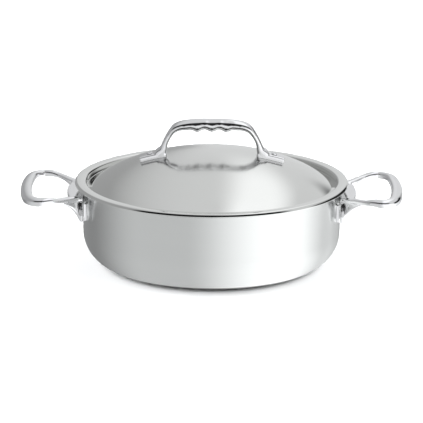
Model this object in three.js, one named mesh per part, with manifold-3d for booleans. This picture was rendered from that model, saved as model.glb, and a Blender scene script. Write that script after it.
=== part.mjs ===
// Low two-handled cooking pot with a domed drop-in lid, in polished stainless steel.
// Millimetres, +Z up. The origin is the centre of the base, and the side handles lie along X.

import * as THREE from 'three';
import { mergeVertices } from 'three/addons/utils/BufferGeometryUtils.js';
import Module from 'manifold-3d';

const wasm = await Module();
wasm.setup();

// Pot: one pressed sheet with a straight wall and a flared pouring lip
const INNER_DIAMETER = 280;
const WALL = 2.5;
const POT_HEIGHT = 92.5;
const WALL_TAPER = 1.5;
const CORNER_RADIUS = 38;
const LIP_BEND = 2.5;
const LIP_TURN = 70;
const LIP_RUN = 3;

// Lid: a thin pressed sheet whose drop ring centres it in the pot. The dome's outline is part of an ellipse,
// from its top through the dome's turn in degrees.
const LID_SHEET = 1.2;
const LID_PLAY = 1.2;
const LID_OVERHANG = 2.3;
const LID_DROP = 7.4;
const GROOVE_RADIUS = 1.05;
const FLANGE_BEND = 1.2;
const DOME_RISE = 38.8;
const DOME_TURN = 58;

// Lid handle: a cast bridge with finger scallops under the grip and a riveted tab at each end
const GRIP_SPAN = 84;
const GRIP_ROOM = 25.8;
const GRIP_THICKNESS = 11.4;
const GRIP_WIDTH = 18;
const GRIP_ARCH = 5;
const GRIP_FULLNESS = 3.4;
const LEG_THICKNESS = 6.2;
const LEG_SPREAD = 13;
const LEG_FOOT = 19;
const LEG_ANKLE = 8.8;
const TAB_THICKNESS = 5.5;
const TAB_WIDTH = 16;
const TAB_RIVET = 12;
const TAB_END = 11.5;
const SCALLOP_PITCH = 16.2;
const SCALLOP_DEPTH = 3.2;
const SCALLOP_COUNT = 4;

// Side handles: cast loops whose arms run into a tongue, a wall flange and a gusset web under each arm.
// The bar and the arm roots are set by how far they lie below the rim.
const LOOP_REACH = 67.4;
const LOOP_WIDTH = 136;
const CORNER_OUT = 15;
const CORNER_SPAN = 34;
const LOOP_BULGE = 1.5;
const LOOP_FULLNESS = 2.8;
const BAR_BELOW = 4.3;
const BAR_WIDTH = 13;
const BAR_THICKNESS = 6.8;
const BAR_TILT = 3;
const BAR_HEEL = 3.2;
const ARM_WIDTH = 10.5;
const ARM_THICKNESS = 5.6;
const ARM_SWEEP = 1.6;
const WAIST_OUT = 25;
const WAIST_PINCH = 7.8;
const WAIST_RISE = 2.7;
const WAIST_WIDTH = 8.5;
const ROOT_BELOW = 9.3;
const ROOT_SPREAD = 35;
const ROOT_WIDTH = 10;
const TONGUE_REACH = 16.2;
const TONGUE_BULGE = 5;
const TONGUE_THICKNESS = 4;
const TONGUE_DROP = 1.2;
const WEB_THICKNESS = 5.5;
const WEB_FLARE = 5;
const WEB_HOLLOW = 1.5;
const WEB_SPLAY = 20;
const FLANGE_THICKNESS = 4;
const FLANGE_HEIGHT = 28;
const FLANGE_CORNER = 6;

// Solid rivets: a low dome head on the food side, an upset head on the handle side
const SIDE_RIVET_SHANK = 6.4;
const SIDE_RIVET_HEAD = 15;
const SIDE_RIVET_UPSET = 11;
const SIDE_RIVET_PITCH = 42;
const SIDE_RIVET_RISE = 13;
const LID_RIVET_SHANK = 4.6;
const LID_RIVET_HEAD = 12;
const LID_RIVET_UPSET = 6.4;
const RIVET_CROWN = 2;
const UPSET_CROWN = 1.4;
const RIVET_EDGE = 0.8;

// Clearances
const SEAT_GAP = 0.3;
const RIVET_PLAY = 0.2;

// Facets
const TURN_FACETS = 54;
const RIVET_FACETS = 10;
const RING_POINTS = 12;
const WEB_POINTS = 8;
const CORNER_STEPS = 6;
const BEND_STEPS = 3;
const DOME_STEPS = 6;
const SPAN_STEPS = 3;
const WEB_STEPS = 2;
const GRIP_STEPS = 8;

const V2 = (x, y) => new THREE.Vector2(x, y);
const radians = THREE.MathUtils.degToRad;

// Sizes that follow from the ones above
const innerRadius = INNER_DIAMETER / 2;
const outerRadius = innerRadius + WALL;
const baseRadius = outerRadius - WALL_TAPER;
const lipBendOuter = LIP_BEND + WALL;
const lipEnd = radians(180 - LIP_TURN);
const lipTop = lipBendOuter * Math.sin(lipEnd) - LIP_RUN * Math.cos(lipEnd);
const lipStart = POT_HEIGHT - lipTop;
const lipMiddle = V2(
  outerRadius + LIP_BEND + (LIP_BEND + WALL / 2) * Math.cos(lipEnd) + LIP_RUN * Math.sin(lipEnd),
  lipStart + (LIP_BEND + WALL / 2) * Math.sin(lipEnd) - LIP_RUN * Math.cos(lipEnd),
);
const lidRadius = lipMiddle.x + WALL / 2 + LID_OVERHANG;
const flangeTop = POT_HEIGHT + SEAT_GAP + LID_SHEET;
const grooveFloor = flangeTop - LID_DROP;
const dropInner = innerRadius - LID_PLAY - LID_SHEET;
const domeRadius = dropInner - 2 * GROOVE_RADIUS;
const domeTop = grooveFloor + DOME_RISE;
const domeTurn = radians(DOME_TURN);
const domeSpread = domeRadius / Math.sin(domeTurn);
const domeDepth = DOME_RISE / (1 - Math.cos(domeTurn));
const domeSlope = (radius) => Math.atan((domeDepth / domeSpread) * Math.tan(Math.asin(radius / domeSpread)));
const wallLean = Math.atan(WALL_TAPER / (lipStart - CORNER_RADIUS));

// How far the middle of a flat facet lies inside the true circle
const facetSag = (radius, halfAngle = Math.PI / TURN_FACETS) => radius * (1 - Math.cos(halfAngle));

// Outline points along an arc in the (radius, height) half-plane
function arc(centreX, centreY, radius, fromDegrees, toDegrees, steps) {
  return Array.from({ length: steps + 1 }, (_, i) => {
    const angle = radians(fromDegrees + ((toDegrees - fromDegrees) * i) / steps);
    return V2(centreX + radius * Math.cos(angle), centreY + radius * Math.sin(angle));
  });
}

// Merged vertices with the collapsed triangles on a turning axis taken out
function weld(geometry) {
  geometry.deleteAttribute('normal');
  geometry.deleteAttribute('uv');
  const merged = mergeVertices(geometry, 1e-4);
  const index = Array.from(merged.index.array);
  const kept = [];
  for (let i = 0; i < index.length; i += 3) {
    const [a, b, c] = index.slice(i, i + 3);
    if (a !== b && b !== c && c !== a) kept.push(a, b, c);
  }
  merged.setIndex(kept);
  return merged;
}

function toSolid(geometry) {
  const welded = weld(geometry);
  const vertProperties = Float32Array.from(welded.attributes.position.array);
  const triVerts = Uint32Array.from(welded.index.array);
  return new wasm.Manifold(new wasm.Mesh({ numProp: 3, vertProperties, triVerts }));
}

function toGeometry(solid) {
  const { vertProperties, triVerts } = solid.getMesh();
  const geometry = new THREE.BufferGeometry();
  geometry.setAttribute('position', new THREE.BufferAttribute(new Float32Array(vertProperties), 3));
  geometry.setIndex(Array.from(triVerts));
  geometry.computeVertexNormals();
  return geometry;
}

// Solid of revolution about Z from a profile that runs outward along the bottom and back over the top
function revolve(profile, facets = TURN_FACETS) {
  return new THREE.LatheGeometry(profile, facets).rotateX(Math.PI / 2);
}

function extrude(shape, depth, bevel = 0) {
  const body = new THREE.ExtrudeGeometry(shape, {
    depth: depth - 2 * bevel,
    bevelEnabled: bevel > 0,
    bevelThickness: bevel,
    bevelSize: bevel,
    bevelOffset: -bevel,
    bevelSegments: 2,
    curveSegments: 6,
  });
  return body.translate(0, 0, bevel);
}

// Closed skin over a row of rings with equal point counts, capped at both ends
function loft(rings) {
  const count = rings[0].length;
  const positions = rings.flat().flatMap((p) => [p.x, p.y, p.z]);
  const index = [];
  for (let i = 0; i + 1 < rings.length; i += 1) {
    for (let k = 0; k < count; k += 1) {
      const a = i * count + k;
      const b = i * count + ((k + 1) % count);
      index.push(a, a + count, b, b, a + count, b + count);
    }
  }
  const last = (rings.length - 1) * count;
  for (let k = 1; k + 1 < count; k += 1) {
    index.push(0, k, k + 1, last, last + k + 1, last + k);
  }
  const geometry = new THREE.BufferGeometry();
  geometry.setAttribute('position', new THREE.Float32BufferAttribute(positions, 3));
  geometry.setIndex(index);
  return geometry;
}

// Unit ring with full, softly rounded sides
function roundedRing(fullness, count = RING_POINTS) {
  const pull = (v) => Math.sign(v) * Math.abs(v) ** (2 / fullness);
  return Array.from({ length: count }, (_, k) => {
    const angle = (2 * Math.PI * (k + 0.5)) / count;
    return V2(pull(Math.cos(angle)), pull(Math.sin(angle)));
  });
}

// Smooth row of places and sizes through a few stations, with the direction of travel at each
function sampleStations(stations) {
  const curve = (pick) => new THREE.CatmullRomCurve3(stations.map((s) => new THREE.Vector3(...pick(s))));
  const places = curve((s) => [s.x, s.y, s.z]);
  const sizes = curve((s) => [s.wide, s.tall, s.heel ?? 0]);
  const spans = stations.length - 1;
  const marks = stations.slice(0, -1).flatMap(({ steps = SPAN_STEPS }, i) =>
    Array.from({ length: steps }, (_, k) => (i + k / steps) / spans),
  );
  return [...marks, 1].map((mark) => ({
    place: places.getPoint(mark),
    along: places.getTangent(mark),
    size: sizes.getPoint(mark),
  }));
}

// A half row that ends on the mirror plane, made whole; each span keeps its own count of steps
function mirrored(half, axis) {
  const back = half.slice(0, -1).reverse();
  const far = back.map((s) => ({ ...s, [axis]: -s[axis] }));
  const middle = { ...half.at(-1), steps: back[0].steps };
  return [...half.slice(0, -1), middle, ...far.map((s, i) => ({ ...s, steps: back[i + 1]?.steps }))];
}

// Pot

function potOuterLine(grow) {
  const corner = CORNER_RADIUS + grow;
  const radius = baseRadius + grow;
  return [
    V2(0, -grow),
    ...arc(radius - corner, corner - grow, corner, -90, 0, CORNER_STEPS),
    V2(outerRadius + grow, lipStart),
  ];
}

function potBody() {
  const bendCentre = V2(outerRadius + LIP_BEND, lipStart);
  const innerCorner = CORNER_RADIUS - WALL;
  const edgeStart = (lipEnd * 180) / Math.PI - 180;
  const profile = [
    ...potOuterLine(0),
    ...arc(bendCentre.x, bendCentre.y, LIP_BEND, 180, 180 - LIP_TURN, BEND_STEPS).slice(1),
    ...arc(lipMiddle.x, lipMiddle.y, WALL / 2, edgeStart, edgeStart + 180, BEND_STEPS),
    ...arc(bendCentre.x, bendCentre.y, lipBendOuter, 180 - LIP_TURN, 180, BEND_STEPS),
    ...arc(baseRadius - CORNER_RADIUS, CORNER_RADIUS, innerCorner, 0, -90, CORNER_STEPS),
    V2(0, WALL),
  ];
  const shell = toSolid(revolve(profile));
  return sideRivetPlaces.reduce((body, place) => body.subtract(sideRivetHole(place)), shell);
}

// Lid

function domeHeight(radius) {
  return domeTop - domeDepth * (1 - Math.sqrt(1 - (radius / domeSpread) ** 2));
}

function domeLine() {
  return Array.from({ length: DOME_STEPS + 1 }, (_, i) => {
    const radius = domeSpread * Math.sin((domeTurn * i) / DOME_STEPS);
    return V2(radius, domeHeight(radius));
  });
}

function lidTopLine() {
  const bend = FLANGE_BEND + LID_SHEET;
  const rim = THREE.MathUtils.radToDeg(domeSlope(domeRadius));
  return [
    ...domeLine(),
    ...arc(dropInner - GROOVE_RADIUS, grooveFloor + GROOVE_RADIUS, GROOVE_RADIUS, 270 - rim, 360, BEND_STEPS),
    ...arc(dropInner + bend, flangeTop - bend, bend, 180, 90, BEND_STEPS),
    V2(lidRadius - LID_SHEET / 2, flangeTop),
  ];
}

// The far face of a sheet lies one thickness below its top line, square to it
function offsetLine(line, thickness) {
  return line.map((point, i) => {
    const before = line[Math.max(i - 1, 0)];
    const after = line[Math.min(i + 1, line.length - 1)];
    const along = V2(after.x - before.x, after.y - before.y).normalize();
    const onAxis = i === 0;
    return V2(onAxis ? 0 : point.x + thickness * along.y, point.y - thickness * (onAxis ? 1 : along.x));
  });
}

function lidShell() {
  const top = lidTopLine();
  const bottom = offsetLine(top, LID_SHEET);
  const edgeHeight = flangeTop - LID_SHEET / 2;
  const edge = arc(lidRadius - LID_SHEET / 2, edgeHeight, LID_SHEET / 2, -90, 90, BEND_STEPS).slice(1, -1);
  const shell = toSolid(revolve([...bottom, ...edge, ...top.toReversed()]));
  return SIDES.reduce((body, side) => body.subtract(lidRivetHole(side)), shell);
}

// Space that the dome takes, grown by the seat gap, to cut what stands on it
function domeCutter() {
  const grown = domeLine().map((p) => V2(p.x, p.y + SEAT_GAP));
  return toSolid(revolve([V2(0, grooveFloor), ...grown.toReversed()]));
}

// Lid handle

const SIDES = [-1, 1];
const gripUnderside = domeTop + GRIP_ROOM;
const gripMiddle = gripUnderside + GRIP_THICKNESS / 2;
const gripEnd = GRIP_SPAN / 2;
const legFoot = gripEnd + LEG_SPREAD;
const lidRivetOut = legFoot + TAB_RIVET;
const lidRivetTilt = domeSlope(lidRivetOut);
const legToe = legFoot - LEG_THICKNESS;

// Legs and grip: each leg starts inside the dome, upright on its inner side and flared on its outer side
function bridgeStations() {
  const legTop = gripUnderside - LEG_THICKNESS;
  const footHeight = domeHeight(legFoot);
  const leg = (out, share, tall) => {
    const z = footHeight + (legTop - footHeight) * share;
    return { x: out, y: 0, z, tall, wide: TAB_WIDTH };
  };
  const foot = (share, tall) => leg(legToe + tall / 2, share, tall);
  const grip = (out, tall) => {
    const z = gripMiddle - GRIP_ARCH * (out / gripEnd) ** 3;
    return { x: out, y: 0, z, tall, wide: GRIP_WIDTH, steps: GRIP_STEPS };
  };
  const half = [
    foot(-1 / 4, LEG_FOOT),
    foot(1 / 8, (LEG_FOOT + LEG_ANKLE) / 2),
    foot(1 / 3, LEG_ANKLE),
    leg(gripEnd + (2 / 3) * LEG_SPREAD, 2 / 3, LEG_THICKNESS),
    leg(gripEnd + LEG_SPREAD / 3, 1, LEG_THICKNESS),
    grip(gripEnd - LEG_THICKNESS / 2, (LEG_THICKNESS + GRIP_THICKNESS) / 2),
    grip(gripEnd / 2, GRIP_THICKNESS),
    grip(0, GRIP_THICKNESS),
  ];
  return mirrored(half, 'x');
}

// Riveted tab from its outer end to the leg's toe: its lower half lies inside the dome and is cut away
function tabStations() {
  const outs = [lidRivetOut + TAB_END, lidRivetOut, legToe];
  return outs.map((out) => ({
    x: out,
    y: 0,
    z: domeHeight(out) + SEAT_GAP,
    tall: 2 * TAB_THICKNESS,
    wide: TAB_WIDTH,
  }));
}

// Downward swell between the fingers: full under the grip, fading out before the corners
function scallop(x) {
  const reach = (SCALLOP_PITCH * SCALLOP_COUNT) / 2;
  const fade = THREE.MathUtils.smoothstep(reach - Math.abs(x), 0, SCALLOP_PITCH);
  return (SCALLOP_DEPTH / 2) * fade * (1 + Math.cos((2 * Math.PI * x) / SCALLOP_PITCH));
}

// Skin along stations in the plane of X and Z: tall lies in that plane, across the way of travel
function uprightLoft(stations, swell = () => 0) {
  const unit = roundedRing(GRIP_FULLNESS);
  return loft(
    sampleStations(stations).map(({ place, along, size }) =>
      unit.map((p) => {
        const lift = (p.y * size.y) / 2 - Math.max(-p.y, 0) * swell(place);
        return new THREE.Vector3(place.x + along.z * lift, (p.x * size.x) / 2, place.z - along.x * lift);
      }),
    ),
  );
}

function lidHandle() {
  const swell = (place) => (place.z > gripUnderside - LEG_THICKNESS ? scallop(place.x) : 0);
  const tab = toSolid(uprightLoft(tabStations()));
  const bridge = toSolid(uprightLoft(bridgeStations(), swell));
  const cast = bridge.add(tab).add(tab.rotate([0, 0, 180])).subtract(domeCutter());
  return SIDES.reduce((body, side) => body.subtract(lidRivetHole(side)).subtract(spotFace(side)), cast);
}

// Side handle, made on the +X side

const wallAt = (z) => baseRadius + Math.tan(wallLean) * (z - CORNER_RADIUS);
const rootTop = POT_HEIGHT - ROOT_BELOW;
const flangeFoot = rootTop - FLANGE_HEIGHT;
const armSpread = (LOOP_WIDTH - ARM_WIDTH) / 2;

// Middle of an arm between the wall and its waist, where share runs from 0 to 1
const armLine = (share) => ROOT_SPREAD + (armSpread - WAIST_PINCH - ROOT_SPREAD) * share ** ARM_SWEEP;
const armMiddle = (share) => rootTop - ARM_THICKNESS / 2 + WAIST_RISE * share ** ARM_SWEEP;

// Skin along level stations: wide lies across the way of travel, a tilt lifts its inner edge, and a heel
// lets its outer underside hang lower
function levelLoft(stations, unit, tilt) {
  const [lean, rise] = [Math.cos(radians(tilt)), Math.sin(radians(tilt))];
  return loft(
    sampleStations(stations).map(({ place, along, size }) => {
      const flat = V2(along.x, along.y).normalize();
      return unit.map((p) => {
        const heel = (size.z * Math.max(-p.y, 0) * (1 - p.x)) / 2;
        const [side, up] = [(p.x * size.x) / 2, (p.y * size.y) / 2 - heel];
        const across = side * lean - up * rise;
        const height = side * rise + up * lean;
        return new THREE.Vector3(place.x + flat.y * across, place.y - flat.x * across, place.z + height);
      });
    }),
  );
}

function armStations() {
  const arm = (out, wide) => {
    const share = Math.max(out, 0) / WAIST_OUT;
    return { x: outerRadius + out, y: armLine(share), z: armMiddle(share), wide, tall: ARM_THICKNESS };
  };
  const barOut = outerRadius + LOOP_REACH - BAR_WIDTH / 2;
  const barHalf = armSpread - CORNER_SPAN;
  const cornerOut = barOut - LOOP_BULGE - CORNER_OUT;
  const quarter = new THREE.EllipseCurve(cornerOut, barHalf, CORNER_OUT, CORNER_SPAN, Math.PI / 2, 0, true);
  const corner = quarter.getPoints(2);
  const barMiddle = POT_HEIGHT - BAR_BELOW - BAR_THICKNESS / 2;
  const bar = (x, y, wide, heel = BAR_HEEL) => ({ x, y, z: barMiddle, wide, tall: BAR_THICKNESS, heel });
  return [
    arm(-WALL, ROOT_WIDTH),
    arm(FLANGE_THICKNESS, ROOT_WIDTH),
    arm(WAIST_OUT / 2, ROOT_WIDTH),
    arm(WAIST_OUT, WAIST_WIDTH),
    bar((outerRadius + WAIST_OUT + cornerOut) / 2, armSpread - WAIST_PINCH / 3, ARM_WIDTH, BAR_HEEL / 4),
    bar(corner[0].x, corner[0].y, ARM_WIDTH),
    bar(corner[1].x, corner[1].y, (ARM_WIDTH + BAR_WIDTH) / 2),
    bar(corner[2].x, corner[2].y, BAR_WIDTH),
    bar(barOut - LOOP_BULGE / 4, barHalf / 2, BAR_WIDTH),
    bar(barOut, 0, BAR_WIDTH),
  ];
}

function loopSolid() {
  return toSolid(levelLoft(mirrored(armStations(), 'y'), roundedRing(LOOP_FULLNESS), BAR_TILT));
}

// Gusset web under the outer side of an arm: full height on the wall, running out inside the waist,
// and leaning outward towards its foot
function webSolid(side) {
  const full = FLANGE_HEIGHT - ARM_THICKNESS / 2;
  const offset = (ROOT_WIDTH - WEB_THICKNESS) / 2;
  const station = (out) => {
    const share = Math.max(out, 0) / WAIST_OUT;
    const tall = Math.max(full * (1 - share) ** WEB_HOLLOW, ARM_THICKNESS / 4);
    const flare = WEB_FLARE * Math.max(1 - out / (2 * FLANGE_THICKNESS), 0);
    const lean = (tall / 2) * Math.sin(radians(WEB_SPLAY));
    const drop = (tall / 2) * Math.cos(radians(WEB_SPLAY));
    return {
      x: outerRadius + out,
      y: side * (armLine(share) + offset * (1 - share) + lean),
      z: armMiddle(share) - drop,
      wide: WEB_THICKNESS + flare - offset * share,
      tall,
      steps: WEB_STEPS,
    };
  };
  const stations = [-WALL, 0, FLANGE_THICKNESS, WAIST_OUT / 2, WAIST_OUT].map(station);
  const inOrder = side > 0 ? stations : stations.reverse();
  return toSolid(levelLoft(inOrder, roundedRing(LOOP_FULLNESS, WEB_POINTS), -WEB_SPLAY));
}

// Plate that bridges the two arm roots, with a bowed outer edge
function tongueSolid() {
  const tip = outerRadius + TONGUE_REACH;
  const end = tip - TONGUE_BULGE;
  const endHalf = armLine((end - outerRadius) / WAIST_OUT);
  const plan = new THREE.Shape();
  plan.moveTo(innerRadius, -ROOT_SPREAD);
  plan.lineTo(end, -endHalf);
  plan.quadraticCurveTo(tip + TONGUE_BULGE, 0, end, endHalf);
  plan.lineTo(innerRadius, ROOT_SPREAD);
  plan.closePath();
  const plate = extrude(plan, TONGUE_THICKNESS, TONGUE_THICKNESS / 4);
  return toSolid(plate.translate(0, 0, rootTop - TONGUE_DROP - TONGUE_THICKNESS));
}

function roundedRectangle(width, height, corner) {
  const shape = new THREE.Shape();
  const [x, y] = [width / 2 - corner, height / 2 - corner];
  shape.absarc(x, -y, corner, -Math.PI / 2, 0);
  shape.absarc(x, y, corner, 0, Math.PI / 2);
  shape.absarc(-x, y, corner, Math.PI / 2, Math.PI);
  shape.absarc(-x, -y, corner, Math.PI, 1.5 * Math.PI);
  return shape;
}

// Wall plate: a slice of a ring round the pot, trimmed to a rounded rectangle
function flangeSolid() {
  const [low, high] = [flangeFoot - FLANGE_CORNER, rootTop];
  const ring = revolve([
    V2(innerRadius, low),
    V2(wallAt(low) + FLANGE_THICKNESS, low),
    V2(wallAt(high) + FLANGE_THICKNESS, high),
    V2(innerRadius, high),
    V2(innerRadius, low),
  ]);
  const width = 2 * ROOT_SPREAD + ROOT_WIDTH;
  const height = FLANGE_HEIGHT - TONGUE_DROP - TONGUE_THICKNESS / 2;
  const deep = 8 * FLANGE_THICKNESS;
  const trim = extrude(roundedRectangle(width, height, FLANGE_CORNER), deep);
  trim.rotateX(Math.PI / 2).rotateZ(Math.PI / 2);
  trim.translate(outerRadius - deep / 2, 0, flangeFoot + height / 2);
  return toSolid(ring).intersect(toSolid(trim));
}

function sideHandle(azimuth) {
  const seat = toSolid(revolve([...potOuterLine(SEAT_GAP), V2(0, lipStart)]));
  const pieces = [tongueSolid(), flangeSolid(), webSolid(-1), webSolid(1)];
  const cast = pieces.reduce((body, solid) => body.add(solid), loopSolid()).subtract(seat);
  const holes = sideRivetPlaces.filter((place) => place.azimuth === 0);
  const drilled = holes.reduce((body, place) => body.subtract(sideRivetHole(place)), cast);
  return drilled.rotate([0, 0, azimuth]);
}

// Rivets, made along +Z with the food-side head below and turned into place

function rivetProfile(shank, head, upset, grip) {
  const crown = (radius, base, height) =>
    Array.from({ length: BEND_STEPS + 1 }, (_, i) => {
      const angle = (i / BEND_STEPS) * (Math.PI / 2);
      return V2(radius * Math.cos(angle), base + height * Math.sin(angle));
    });
  return [
    ...crown(head / 2, -RIVET_EDGE, -RIVET_CROWN + RIVET_EDGE).reverse(),
    V2(head / 2, 0),
    V2(shank / 2, 0),
    V2(shank / 2, grip),
    V2(upset / 2, grip),
    ...crown(upset / 2, grip + RIVET_EDGE, UPSET_CROWN - RIVET_EDGE),
  ];
}

const rivetHeight = flangeFoot + SIDE_RIVET_RISE;
const sideTurn = THREE.MathUtils.radToDeg(Math.asin(SIDE_RIVET_PITCH / 2 / outerRadius));
const sideRivetPlaces = [0, 180].flatMap((azimuth) =>
  SIDES.map((end) => ({ azimuth, turn: azimuth + end * sideTurn, end })),
);

// Square to the leaning wall, with zero height on its outer face
function placeOnWall(geometry, place) {
  geometry.rotateY(Math.PI / 2 + wallLean);
  geometry.translate(wallAt(rivetHeight), 0, rivetHeight);
  return geometry.rotateZ(radians(place.turn));
}

// Round cutter about the rivet's line, reaching as far below zero height as above it
function drill(diameter, reach) {
  const radius = diameter / 2 + RIVET_PLAY;
  return new THREE.CylinderGeometry(radius, radius, 2 * reach, RIVET_FACETS).rotateX(Math.PI / 2);
}

function sideRivetHole(place) {
  return toSolid(placeOnWall(drill(SIDE_RIVET_SHANK, 2 * (WALL + FLANGE_THICKNESS)), place));
}

function sideRivet(place) {
  const headSag = SIDE_RIVET_HEAD ** 2 / (8 * innerRadius) + facetSag(innerRadius);
  const start = -WALL - headSag - RIVET_PLAY;
  const end = FLANGE_THICKNESS + RIVET_PLAY;
  const profile = rivetProfile(SIDE_RIVET_SHANK, SIDE_RIVET_HEAD, SIDE_RIVET_UPSET, end - start);
  return toSolid(placeOnWall(revolve(profile, RIVET_FACETS).translate(0, 0, start), place));
}

// Square to the dome, with zero height on its top face
function placeOnDome(geometry, side) {
  geometry.rotateY(lidRivetTilt);
  geometry.translate(lidRivetOut, 0, domeHeight(lidRivetOut));
  return side > 0 ? geometry : geometry.rotateZ(Math.PI);
}

function lidRivetHole(side) {
  return toSolid(placeOnDome(drill(LID_RIVET_SHANK, 2 * (LID_SHEET + TAB_THICKNESS)), side));
}

// Flat seat cut into the foot of the leg for the upset head
function spotFace(side) {
  const reach = UPSET_CROWN + LEG_THICKNESS;
  const cutter = drill(LID_RIVET_UPSET, reach).translate(0, 0, SEAT_GAP + TAB_THICKNESS + reach);
  return toSolid(placeOnDome(cutter, side));
}

function lidRivet(side) {
  const phase = Math.asin(lidRivetOut / domeSpread);
  const pace = Math.hypot(domeSpread * Math.cos(phase), domeDepth * Math.sin(phase));
  const curve = pace ** 3 / (domeSpread * domeDepth);
  const domeSag = facetSag(lidRivetOut) + facetSag(curve, (pace * domeTurn) / (2 * DOME_STEPS * curve));
  const headSag = LID_RIVET_HEAD ** 2 / (8 * curve) + domeSag;
  const start = -LID_SHEET - headSag - RIVET_PLAY;
  const end = SEAT_GAP + TAB_THICKNESS + RIVET_PLAY;
  const profile = rivetProfile(LID_RIVET_SHANK, LID_RIVET_HEAD, LID_RIVET_UPSET, end - start);
  return toSolid(placeOnDome(revolve(profile, RIVET_FACETS).translate(0, 0, start), side));
}

// Assembly

const brushedSteel = { color: 0xbfc1bf, roughness: 0.26, metalness: 1 };
const mirrorSteel = { color: 0xd4d4d6, roughness: 0.1, metalness: 1 };
const rivetSteel = { color: 0xc9c9ca, roughness: 0.18, metalness: 1 };

function piece(name, solid, finish) {
  const mesh = new THREE.Mesh(toGeometry(solid), new THREE.MeshStandardMaterial(finish));
  mesh.name = name;
  return mesh;
}

const pot = new THREE.Group();
pot.add(piece('pot_body', potBody(), brushedSteel));
pot.add(piece('side_handle_right', sideHandle(0), mirrorSteel));
pot.add(piece('side_handle_left', sideHandle(180), mirrorSteel));
for (const place of sideRivetPlaces) {
  const side = place.azimuth === 0 ? 'right' : 'left';
  const end = (place.azimuth === 0) === place.end < 0 ? 'front' : 'rear';
  pot.add(piece(`side_rivet_${side}_${end}`, sideRivet(place), rivetSteel));
}

const lid = new THREE.Group();
lid.add(piece('lid_shell', lidShell(), brushedSteel));
lid.add(piece('lid_handle', lidHandle(), mirrorSteel));
for (const side of SIDES) {
  lid.add(piece(`lid_rivet_${side > 0 ? 'right' : 'left'}`, lidRivet(side), rivetSteel));
}

const assembly = new THREE.Group();
assembly.add(pot, lid);

export default assembly;
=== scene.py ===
"""Low two-handled cooking pot with a domed lid, in polished stainless steel.

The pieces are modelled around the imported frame, in metres, with +Z up and the side handles along X.
"""

from math import asin, atan, cos, pi, radians, sin, sqrt, tan, tau

import bmesh
import bpy
import numpy as np
from bpy.props import FloatProperty, FloatVectorProperty, IntProperty, PointerProperty
from mathutils import Matrix, Vector


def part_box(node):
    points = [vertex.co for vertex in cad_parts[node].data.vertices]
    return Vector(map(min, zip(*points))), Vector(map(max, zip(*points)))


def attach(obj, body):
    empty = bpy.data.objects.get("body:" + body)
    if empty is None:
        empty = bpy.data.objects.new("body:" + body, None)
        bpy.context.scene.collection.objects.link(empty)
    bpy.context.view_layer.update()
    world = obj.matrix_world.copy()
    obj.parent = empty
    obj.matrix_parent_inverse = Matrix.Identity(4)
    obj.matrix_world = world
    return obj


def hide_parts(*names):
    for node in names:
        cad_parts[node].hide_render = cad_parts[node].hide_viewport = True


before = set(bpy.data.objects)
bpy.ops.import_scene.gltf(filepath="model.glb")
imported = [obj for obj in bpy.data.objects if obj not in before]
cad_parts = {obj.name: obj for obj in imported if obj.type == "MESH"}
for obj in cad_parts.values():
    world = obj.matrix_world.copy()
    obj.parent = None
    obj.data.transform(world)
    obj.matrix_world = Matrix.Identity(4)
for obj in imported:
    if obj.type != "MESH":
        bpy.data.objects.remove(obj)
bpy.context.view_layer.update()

bl_info = {
    "name": "Cooking Pot",
    "version": (1, 0, 0),
    "blender": (4, 5, 0),
    "location": "View3D > Sidebar > Cooking Pot",
    "description": "Models a low two-handled cooking pot with a domed lid around its packed frame",
    "category": "Add Mesh",
}

POT_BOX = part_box("pot_body")

# Finest distance that counts as one place when edges are welded
WELD = 1e-6

# How finely the pieces are modelled
TURN_STEPS = 192
RIVET_STEPS = 40
ARC_STEPS = 24
BEND_STEPS = 8
SPAN_STEPS = 4
GRIP_STEPS = 9
RING_SEGMENTS = 2
FLOOR_CELLS = 8

# How far each round of blending moves a casting's skin
BLEND_FACTOR = 0.5

# Edges that turn more than this stay crisp
CRISP = radians(50)

# Rounding of corners, as a part of the thickness: the most there may be, then each form's own
MOST_ROUNDING = 0.45
LEG_ROUNDING = 0.4
TAB_ROUNDING = 0.3
BAR_ROUNDING = 0.42
WEB_ROUNDING = 0.2

# How steeply the bar's shoulder falls, and the part of its heel and shoulder that an arm's neck has
SHOULDER_FALL = 0.3
NECK_PART = 0.25

# Depth of the tool that trims a wall plate, in plate thicknesses
TRIM_DEPTH = 8

# Where a rivet's crown ends around its centre mark, in radii of the mark
MARK_EDGE = 1.2


def prop(kind, label, description, value, **options):
    """Property with a label, a description and a default."""
    return kind(name=label, description=description, default=value, **options)


def length(label, description, metres):
    """Property for a size, in metres."""
    return prop(FloatProperty, label, description, metres, min=0.0, unit="LENGTH", precision=5)


def angle(label, description, turn):
    """Property for an angle, given in degrees."""
    return prop(FloatProperty, label, description, radians(turn), subtype="ANGLE")


def share(label, description, value, most=10.0):
    """Property for a plain number."""
    return prop(FloatProperty, label, description, value, min=0.0, max=most)


def count(label, description, number, least=0):
    """Property for a whole number."""
    return prop(IntProperty, label, description, number, min=least)


def colour(label, description, rgb):
    """Property for a linear colour."""
    options = {"subtype": "COLOR", "size": 3, "min": 0.0, "max": 1.0}
    return prop(FloatVectorProperty, label, description, rgb, **options)


class PotSizes(bpy.types.PropertyGroup):
    """Pressed pot with a straight wall and a flared pouring lip."""

    height: length("Height", "Base to the top of the lip", POT_BOX[1].z)
    inner_radius: length("Inner radius", "Inside radius at the rim", 0.140)
    wall: length("Wall", "Sheet thickness", 0.0025)
    taper: length("Taper", "How much narrower the wall is at its foot", 0.0015)
    corner: length("Corner", "Outside radius between base and wall", 0.038)
    lip_bend: length("Lip bend", "Outside radius under the lip", 0.0025)
    lip_turn: angle("Lip turn", "How far the lip turns outward", 70)
    lip_run: length("Lip run", "Straight length of the lip past its bend", 0.003)


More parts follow.
